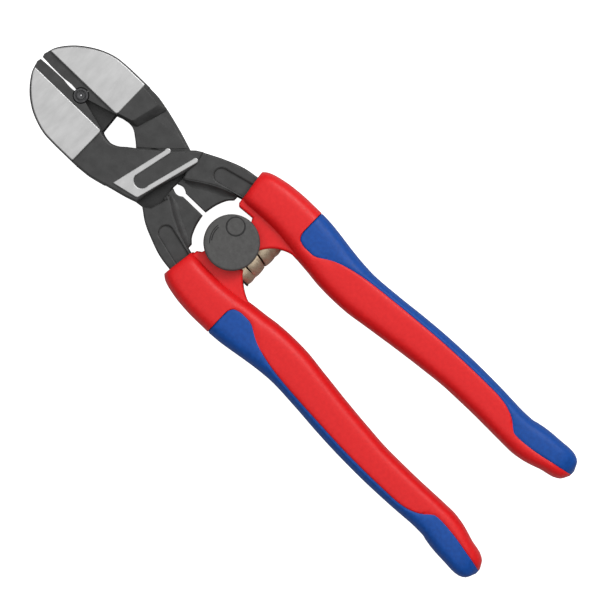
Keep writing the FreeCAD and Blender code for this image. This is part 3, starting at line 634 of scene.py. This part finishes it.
def moving_jaw():
    """Upper jaw with a ground face, a sloped step and a forked tongue."""
    back = [(-16.2, 0.45), (TIP, 1.5), UPPER_BACK, (13, 16), (13, 4.6)]
    cheek = ring([*back, *edge_strip(1)])
    core = ring([
        *back,
        (12.6, 3.6),
        ("arc", polar(PIVOT, 12.2, 28), polar(PIVOT, 12.2, 39)),
        polar(PIVOT, RECESS_R, 75),
        ("arc", polar(PIVOT, RECESS_R, 120), (-2.4, 0.3)),
        *gap_edge(1),
    ])
    face = ground_face(1, UPPER_FACE, 15.6)
    shoulder = [(11.3, 3.7), (11.3, 14.8), (18.4, 14.0), (18.3, 12.8)]
    shoulder += [(16.5, 5.8), (16.1, 5.1), (13.6, 4.6)]
    foot = [(11.3, 3.3), (11.3, 15.8), (13.4, 15.9), (17, 15.6), (21.2, 14.8)]
    foot += [(21.3, 14.2), (18.4, 5.0), (17.4, 4.4), (13.6, 4.1)]
    edge = ("curve", (17, 15.7), (21.5, 14.8))
    rim = ("curve", (26, 13.6), (30, 12.4), (34.5, 10.9))
    window = ("curve", (20, 2.2), (18.5, 3.3), (17, 3.9), (14, 3.85), (11.6, 3.1))
    notch = [(31.2, 1.6), ("arc", (28.4, 4.3), (25.6, 1.5)), (25.4, -0.8), (23.4, -0.8)]
    tine = ring([
        (11.6, 3.1),
        (11.6, 8),
        (12.2, 15.6),
        (13.1, 15.9),
        edge,
        rim,
        ("arc", (37.3, 8.0), polar(DRIVE, TINE_R, -10)),
        ("arc", polar(DRIVE, TINE_R, -50), polar(DRIVE, TINE_R, -95)),
        *notch,
        ("curve", (21.5, 1), *window[1:]),
    ])
    root = ring([(11.6, 3.1), (11.6, 8), (10.4, 12), (10.4, 15.7), (13.1, 15.8), edge, (21.5, 1), window])
    bridge = ring([(21.3, 9), ("arc", (25, 11.5), (29.4, 12.5)), ("curve", (26, 13.55), (21.3, 14.8))])
    parts = [(mesh, BLACK) for mesh in both_sides(cheek, TENON_Z + 0.1, BLADE_Z, 0.12)]
    parts.append((plate(core, -BLADE_Z + 0.05, BLADE_Z - 0.05, 0.12, inset=HIDDEN), BLACK))
    parts.append((plate(face, -FACE_Z, FACE_Z, 0.3), BRIGHT))
    for side in (1, -1):
        top = [(x, y, side * BAND_Z) for x, y in shoulder]
        low = [(x, y, side * z) for x, y in foot for z in (TENON_Z + 0.15, TINE_Z + 0.1)]
        parts.append((hull(top + low, 0.22), BLACK))
    near_window = [(18.7, 3.6), (20.2, 2.5), (21.7, 1.25), (22.6, 0.5)]
    face_top = [(20.3, 10.4), (30, 11.3), (33.4, 10.5), (30.4, 7.4), *near_window]
    face_foot = [(21.2, 14.3), (26, 13.1), (30, 12.0), (34.0, 10.8), (30.5, 7.4), *near_window]
    for side in (1, -1):
        top = [(x, y, side * TINE_Z) for x, y in face_top]
        low = [(x, y, side * z) for x, y in face_foot for z in (FORK_Z + 0.3, TINE_Z - 0.35)]
        parts.append((hull(top + low, 0.06), BLACK))
    drive_hole = [circle(DRIVE, 1.62)]
    parts += [(mesh, BLACK) for mesh in both_sides(tine, FORK_Z, TINE_Z - 0.2, 0.3, holes=drive_hole)]
    parts.append((plate(root, -TINE_Z + 0.25, TINE_Z - 0.25, 0.3, inset=HIDDEN), BLACK))
    parts.append((plate(bridge, -FORK_Z - 0.2, FORK_Z + 0.2, 0.1, inset=HIDDEN), BLACK))
    eye = circle(PIVOT, EYE_R)
    eye_hole = [circle(PIVOT, PIN_R + 0.07)]
    parts += [(mesh, BLACK) for mesh in both_sides(eye, TENON_Z + 0.1, 4.2, 0.1, holes=eye_hole)]
    return assemble("moving_jaw_forging", "moving_jaw", parts, ["moving_jaw"])


def moving_handle_lever():
    """Lower arm, whose thin nose lies between the jaw's tines."""
    root = [(36, 11.2), (39.9, 4.2), (39.2, 6.4), (38.2, 9.6)]
    far = [(36.4, 11.4), ("curve", *ARM_BACK), (56.4, 11.2)]
    far += [("curve", (50, 9.4), (45, 6.9), (42, 5), (40, 4.3)), *root[2:]]
    nose = ring([
        (45, -10),
        (42, -15),
        (36, -11.3),
        (29.5, -12.1),
        ("arc", polar(BOLT, 4, 230), polar(BOLT, 4, 150)),
        (29.0, 0.6),
        ("curve", (30.0, 4.6), (32.2, 8.2)),
        ("arc", (35.6, 10.0), (38.5, 7.4)),
        ("curve", (38.7, 3.4), (38.4, -1.0)),
        (39.4, -4.6),
    ])
    web_core = plate(flipped(web_outline(), -1), -WEB_Z + 0.05, WEB_Z - 0.05, 0.35, inset=HIDDEN)
    parts = [(mesh, BLACK) for mesh in arm_parts(-1, root, ring(far))]
    parts.append((web_core, BLACK))
    holes = [circle(BOLT, 2.25), slot_ring()]
    # The nose wears the darker steel: painted shade of the recess between the band and the plateau.
    parts.append((plate(nose, -NOSE_Z, NOSE_Z, 0.2, holes=holes), RECESS_SHADE_STEEL))
    replaced = ["moving_handle_lever"]
    return assemble("moving_handle_forging", "moving_handle", parts, replaced)


def turned(point, centre, degrees):
    """The point turned about the centre."""
    radius = math.dist(point, centre)
    heading = math.degrees(math.atan2(point[1] - centre[1], point[0] - centre[0]))
    return polar(centre, radius, heading + degrees)


def slot_ring():
    """The curved slot in the nose: the drive pin's path as the handle lever sees it."""
    low, high = HINGE_LIMITS
    path = []
    for i in range(13):
        angle = low + (high - low) * i / 12
        path.append(turned(turned(DRIVE, PIVOT, angle * JAW_RATIO), BOLT, -angle))
    half = 1.72
    sides = []
    for side in (1, -1):
        row = []
        for i, (x, y) in enumerate(path):
            a, b = path[max(i - 1, 0)], path[min(i + 1, 12)]
            length = math.dist(a, b)
            row.append((x - side * half * (b[1] - a[1]) / length, y + side * half * (b[0] - a[0]) / length))
        sides.append(row)
    ends = []
    for tip, inner in ((path[-1], path[-2]), (path[0], path[1])):
        heading = math.degrees(math.atan2(tip[1] - inner[1], tip[0] - inner[0]))
        ends.append([polar(tip, half, heading + 75 - 15 * i) for i in range(11)])
    return sides[0] + ends[0] + sides[1][::-1] + ends[1]


# ---------------------------------------------------------------- grips

# Edges and half thickness along the grip, as (x, value) in millimetres.
INNER = [
    (54.6, 10.4), (57, 10.4), (60, 10.6), (68, 10.8), (75, 10.2), (80, 9.4), (85, 8.9), (90, 8.3),
    (95, 8.1), (100, 8.2), (110, 9.4), (120, 10.7), (130, 11.8), (140, 12.6), (150, 12.7), (160, 12.5),
    (166, 12.4), (170, 12.9), (173, 13.7), (176, 14.7), (180, 15.6), (182, 16.7), (183.5, 19.0),
]
OUTER = [
    (54.6, 21.2), (56, 22.2), (58, 23.0), (60, 23.5), (64, 24.2), (70, 24.6), (76, 24.6), (80, 24.4),
    (84, 23.9), (90, 23.0), (95, 22.4), (100, 22.1), (110, 22.7), (120, 23.6), (130, 24.2), (140, 24.4),
    (150, 24.2), (156, 23.9), (160, 23.7), (164, 23.8), (166, 24.3), (170, 24.9), (175, 25.2),
    (178, 25.4), (180, 25.2), (182, 24.2), (183.5, 21.6),
]
HALF = [
    (54.6, 7.6), (55.4, 8.3), (57, 8.9), (60, 9.3), (66, 9.45), (100, 9.45), (170, 9.45), (176, 9.2),
    (179.5, 8.4), (182, 6.6), (183.5, 3.6),
]
PAD_EDGE = [
    (75.8, 17.0), (76.2, 15.2), (77.2, 13.9), (79.5, 13.3), (82.5, 13.35), (84, 13.8), (86, 15.1),
    (88, 16.3), (90, 17.2), (95, 18.7), (100, 19.6), (110, 20.6), (120, 21.3), (130, 21.9), (140, 22.1),
    (150, 22.0), (154, 21.5), (157, 20.5), (159, 19.4), (160.6, 17.9), (162, 16.8), (164, 16.6),
    (170, 17.1), (176, 18.2), (180, 19.0), (183.5, 19.8),
]
FRONT, REAR = INNER[0][0], INNER[-1][0]
PAD_FRONT = PAD_EDGE[0][0]
SQUARENESS = 3.7
FRONT_SLANT = 0.15
CORE_POINTS = 44
WALL_POINTS = 20
SEAM_DEPTH = 0.32
SEAM_WIDTH = 0.55
SEAM_SPAN = 0.09


def value_at(points, x):
    """A smooth curve's value at x, without overshoot between its points."""
    if x <= points[0][0]:
        return points[0][1]
    if x >= points[-1][0]:
        return points[-1][1]
    i = max(k for k in range(len(points) - 1) if points[k][0] <= x)
    slopes = [(b[1] - a[1]) / (b[0] - a[0]) for a, b in zip(points, points[1:])]

    def tangent(k):
        if k == 0:
            return slopes[0]
        if k == len(slopes):
            return slopes[-1]
        return 0.0 if slopes[k - 1] * slopes[k] <= 0 else 2 / (1 / slopes[k - 1] + 1 / slopes[k])

    (x0, y0), (x1, y1) = points[i], points[i + 1]
    span = x1 - x0
    t = (x - x0) / span
    h = (2 * t**3 - 3 * t**2 + 1, t**3 - 2 * t**2 + t, -2 * t**3 + 3 * t**2, t**3 - t**2)
    return h[0] * y0 + h[1] * span * tangent(i) + h[2] * y1 + h[3] * span * tangent(i + 1)


def section_point(x, angle, sink=0.0):
    """The grip surface at x and a section angle from its outer side, sunk by a depth."""
    inner, outer, half = (value_at(table, x) for table in (INNER, OUTER, HALF))
    across = (outer - inner) / 2 - sink
    up = half - sink
    c, s = math.cos(angle), math.sin(angle)
    y = (inner + outer) / 2 + across * math.copysign(abs(c) ** (2 / SQUARENESS), c)
    z = up * math.copysign(abs(s) ** (2 / SQUARENESS), s)
    lean = max(0.0, 1 - (x - FRONT) / 16) * FRONT_SLANT
    return (x + lean * (OUTER[0][1] - y), y, z)


def seam_angle(x):
    """The section angle at which the pad's edge lies, on the upper side."""
    inner, outer = value_at(INNER, x), value_at(OUTER, x)
    share = (value_at(PAD_EDGE, x) - (inner + outer) / 2) / ((outer - inner) / 2)
    share = max(-0.97, min(0.97, share))
    return math.acos(math.copysign(abs(share) ** (SQUARENESS / 2), share))


def seam_sink(angle, edges):
    """How deep the surface dips at an angle, close to the seam's two edges."""
    nearness = [max(0.0, 1 - abs(angle - edge) / SEAM_SPAN) for edge in edges]
    return SEAM_DEPTH * nearness[0] ** 2 + SEAM_DEPTH * nearness[1] ** 2


def section_angles(start, stop, count):
    """Angles with equal spacing between, and closer ones at both ends, always the same number of them."""
    low, high = start + SEAM_SPAN, stop - SEAM_SPAN
    near = [start, start + SEAM_SPAN * 0.35, low]
    last = [high, stop - SEAM_SPAN * 0.35, stop]
    return near + [low + (high - low) * i / count for i in range(1, count)] + last


def stations(start, stop):
    """Places along the grip, closer together at both of its ends and at the pad's front."""
    places = []
    x = start
    while x < stop - 0.05:
        places.append(x)
        near_end = min(x - start, stop - x, abs(x - PAD_FRONT) + 0.2)
        x += max(0.2, min(1.2, near_end * 0.35))
    return places + [stop]


def straight_wall(row):
    """Points straight across from the row's last point to its first."""
    shares = [i / WALL_POINTS for i in range(1, WALL_POINTS)]
    return [tuple(a + (b - a) * share for a, b in zip(row[-1], row[0])) for share in shares]


def grip_skin(rows, side):
    """A closed grip shape through the rows, on one side of the tool."""
    return skin([[(x, side * y, z) for x, y, z in row] for row in rows], merge=0.004)


def core_mesh(side):
    """The red core: a full section in front of the pad, and the inner part of it behind the pad's front."""
    rows = []
    places = stations(FRONT, REAR)
    for x in [p for p in places if p < PAD_FRONT] + [PAD_FRONT]:
        edge = seam_angle(PAD_FRONT)
        row = [section_point(x, a) for a in section_angles(edge, math.tau - edge, CORE_POINTS)]
        row += [section_point(x, -edge + 2 * edge * i / WALL_POINTS) for i in range(1, WALL_POINTS)]
        rows.append(row)
    for x in [PAD_FRONT + 0.01] + [p for p in places if p > PAD_FRONT + 0.1]:
        edge = seam_angle(x)
        edges = (edge, math.tau - edge)
        row = [section_point(x, a, seam_sink(a, edges)) for a in section_angles(*edges, CORE_POINTS)]
        rows.append(row + straight_wall(row))
    return grip_skin(rows, side)


def pad_mesh(side):
    """The blue pad on the outer side of the grip, behind its front edge."""
    rows = []
    front = PAD_FRONT + 0.12
    places = [front, front + 0.15, front + 0.4]
    places += [p for p in stations(FRONT, REAR) if p > front + 0.6]
    for x in places:
        edge = seam_angle(x)
        edges = (-edge, edge)
        end_sink = SEAM_DEPTH * max(0.0, 1 - (x - front) / SEAM_WIDTH) ** 2
        row = []
        for a in section_angles(*edges, CORE_POINTS):
            row.append(section_point(x, a, max(seam_sink(a, edges), end_sink) + 0.02))
        rows.append(row + straight_wall(row))
    return grip_skin(rows, side)


UPPER_LOBE = [
    (55.7, 13),
    (56.1, 9.6),
    (56.8, 8.8),
    (61.9, 9.2),
    (62.6, 8.1),
    (60.4, 6.7),
    (59.3, 4.6),
    polar(DIAL, 3.8, 165),
    ("arc", polar(DIAL, 3.8, 250), polar(DIAL, 3.8, -20)),
    (70.7, 4.3),
    ("arc", (73.2, 7.2), (78, 9.5)),
    (80, 9.4),
    (80, 13),
]
LOWER_LOBE = [
    (56.3, 13),
    (56.9, 9.4),
    (58.2, 8.5),
    (58.6, 7.4),
    (63.6, 7.0),
    (66.4, 5.5),
    (70.8, 3.9),
    ("arc", (73.5, 6.9), (78.4, 9.8)),
    (80, 9.6),
    (80, 13),
]


def grips():
    """Red core with its bracket lobe, and blue pad, on each arm."""
    arms = ((1, "upper", "fixed_handle", UPPER_LOBE), (-1, "lower", "moving_handle", LOWER_LOBE))
    for side, place, body, lobe in arms:
        core = [(core_mesh(side), RED), (plate(ring(lobe, side), -LOBE_Z, LOBE_Z, 0.7), RED)]
        pad = [(pad_mesh(side), BLUE)]
        assemble(f"{place}_grip_body", body, core, [f"{place}_grip_core"], smooth=50)
        assemble(f"{place}_grip_inlay", body, pad, [f"{place}_grip_pad"], smooth=50)


# ---------------------------------------------------------------- dial, spring and hardware


def dial():
    """Thumb dial with a dished top, a ring mark and a short arc mark, the marks in darker grey as painted
    shade of the dial's mark grooves.
    """
    near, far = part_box("lock_dial")
    low, high = height(near[2]), height(far[2])
    radius = (far[0] - near[0]) / 2 / MM
    profile = [(0, low), (radius - 0.4, low), (radius - 0.08, low + 0.25), (radius, low + 0.6)]
    profile += [polar((radius - 0.8, high - 0.86), 0.8, a) for a in range(0, 91, 15)]
    profile += [(radius - 1.6, high - 0.09), (radius - 2.6, high - 0.13), (0, high - 0.14)]
    parts = [(lathe(profile, (*DIAL, 0), 120), DIAL_GREY)]
    level = high - 0.18
    # The marks are low beads in the darker grey: painted shade of the grooves.
    parts.append((bead((60.4, 3.9), 2.75, 0.55, level), GROOVE_SHADE_GREY))
    parts.append((bead(DIAL, 6.5, 0.36, level, 171, 226), GROOVE_SHADE_GREY))
    parts.append((bead(DIAL, 5.95, 0.36, level, 174, 218), GROOVE_SHADE_GREY))
    assemble("lock_dial_cap", "lock_dial", parts, ["lock_dial"])


def opening_spring():
    """A helix of crowned flat strip between the two spring pegs."""
    low, high = (in_tool(Vector(corner))[1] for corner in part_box("opening_spring"))
    radius, thick, width, pitch = 4.85, 0.8, 4.3, 4.9
    travel = high - low - width
    count = int(travel / pitch * 60)
    rows = []
    for i in range(count + 1):
        y = low + width / 2 + travel * i / count
        section = []
        for k in range(9):
            across = -1 + k / 4
            section.append((radius - 0.3 * across**2, y + across * width / 2))
        section += [(r - thick, v) for r, v in reversed(section)]
        row = []
        for r, v in section:
            x, z = polar((SPRING_X, 0), r, 360 * (y - low) / pitch)
            row.append((x, v, z))
        rows.append(row)
    parts = [(skin(rows), BRASS)]
    for end, inward in ((low, 1), (high, -1)):
        collar = [(3.9, 0.0), (4.55, 0.0), (radius - 0.12, inward * 0.6), (radius, inward * 1.6)]
        collar += [(4.6, inward * 3.2), (3.9, inward * 3.2), (3.9, 0.0)]
        parts.append((lathe(collar, (SPRING_X, end, 0), 60, axis="y"), BRASS))
    slot, replaced = "spring_steel", ["opening_spring"]
    piece = assemble("opening_spring_strip", None, parts, replaced, weighted=False)
    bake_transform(piece)


def jaw_pin():
    """Riveted jaw pin: a ring round a domed centre with a small dimple, whose bottom holds a painted
    highlight of lighter steel.
    """
    top = height(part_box("jaw_pivot_pin")[1][2])
    shank = [(0, -4.3), (PIN_R, -4.3), (PIN_R, 4.3)]
    rim = [(EYE_R, 4.3), (EYE_R, top - 0.2), (EYE_R - 0.2, top), (1.62, top)]
    groove = [(1.5, top - 0.22), (1.36, top - 0.22), (1.2, top - 0.02)]
    dimple = [(0.7, top - 0.02), (0.45, top - 0.1), (0.35, top - 0.3), (0, top - 0.35)]
    parts = [(lathe(shank + rim + groove + dimple, (0, 0, 0)), PIN_STEEL)]
    # A small cone of the lighter hardware steel fills the dimple's bottom: a painted highlight for the
    # bright dot at the pin's centre.
    parts.append((lathe([(0, top - 0.34), (0.3, top - 0.3), (0, top - 0.12)], (0, 0, 0), 24), HARD_STEEL))
    assemble("jaw_pin_rivet", "fixed_handle", parts, ["jaw_pivot_pin"])


def dress_nodes():
    """Materials for the small CAD parts that keep their own shape."""
    dressed = {
        "jaw_pivot_rear_head": PIN_STEEL,
        "handle_pivot_bolt": PIN_STEEL,
        "front_spacer_washer": HARD_STEEL,
        "rear_spacer_washer": HARD_STEEL,
        "drive_pin": HARD_STEEL,
        "upper_spring_peg": PIN_STEEL,
        "lower_spring_peg": PIN_STEEL,
        "dial_rear_washer": HARD_STEEL,
        "dial_wave_washer": HARD_STEEL,
        "detent_ball": HARD_STEEL,
        "detent_spring": HARD_STEEL,
        "dial_hook": BLACK,
        "dial_axle_screw": HARD_STEEL,
        "lock_catch_pin": HARD_STEEL,
    }
    for name, material in dressed.items():
        node = frame["nodes"][name]
        if not node.material_slots:
            node.data.materials.append(material)
        for holder in node.material_slots:
            holder.link = "OBJECT"
            holder.material = material


# ---------------------------------------------------------------- floor, light and camera


FLOOR = 3.0
VIEW_CENTRE = (89.15, 1.37, 8)
VIEW_WIDTH = 177.8
VIEW_TURN = 43.9


def stage():
    """A plain pale floor with soft light from above, and the camera straight over the tool."""
    floor_mesh = bpy.data.meshes.new("floor")
    corners = [(-FLOOR, -FLOOR, 0), (FLOOR, -FLOOR, 0), (FLOOR, FLOOR, 0), (-FLOOR, FLOOR, 0)]
    floor_mesh.from_pydata(corners, [], [(0, 1, 2, 3)])
    floor = bpy.data.objects.new("floor", floor_mesh)
    floor.location.z = -0.0002
    paint = new_material("pale_floor", (0.45, 0.45, 0.45), 0.9, specular=0.1)
    shader = paint.node_tree.nodes["Principled BSDF"]
    shader.inputs["Emission Color"].default_value = (1, 1, 1, 1)
    seen = paint.node_tree.nodes.new("ShaderNodeLightPath")
    paint.node_tree.links.new(seen.outputs["Is Camera Ray"], shader.inputs["Emission Strength"])
    floor_mesh.materials.append(paint)
    bpy.context.scene.collection.objects.link(floor)
    world = bpy.data.worlds.new("studio")
    world.use_nodes = True
    backdrop = world.node_tree.nodes["Background"]
    backdrop.inputs["Color"].default_value = (1, 1, 1, 1)
    backdrop.inputs["Strength"].default_value = 0.25
    bpy.context.scene.world = world
    bpy.context.scene.view_settings.view_transform = "Standard"
    for name, place, size, power in (
        ("overhead", (-0.15, 0.2, 1.5), 2.6, 28),
        ("key", (-0.1, 0.75, 0.7), 0.4, 6),
    ):
        light = bpy.data.lights.new(name, "AREA")
        light.size = size
        light.energy = power
        lamp = bpy.data.objects.new(name, light)
        lamp.location = place
        lamp.rotation_euler = (-Vector(place)).to_track_quat("-Z", "Y").to_euler()
        bpy.context.scene.collection.objects.link(lamp)
    lens = bpy.data.cameras.new("camera")
    lens.lens = 150
    lens.sensor_width = 36
    lens.clip_end = 10
    camera = bpy.data.objects.new("camera", lens)
    distance = VIEW_WIDTH * MM * lens.lens / lens.sensor_width
    centre = TO_FRAME @ Vector(VIEW_CENTRE)
    camera.location = (centre.x, centre.y, centre.z + distance)
    camera.rotation_euler = (0, 0, math.radians(VIEW_TURN))
    bpy.context.scene.collection.objects.link(camera)
    bpy.context.scene.camera = camera


fixed_jaw_lever()
moving_jaw()
moving_handle_lever()
grips()
dial()
opening_spring()
jaw_pin()
dress_nodes()
stage()
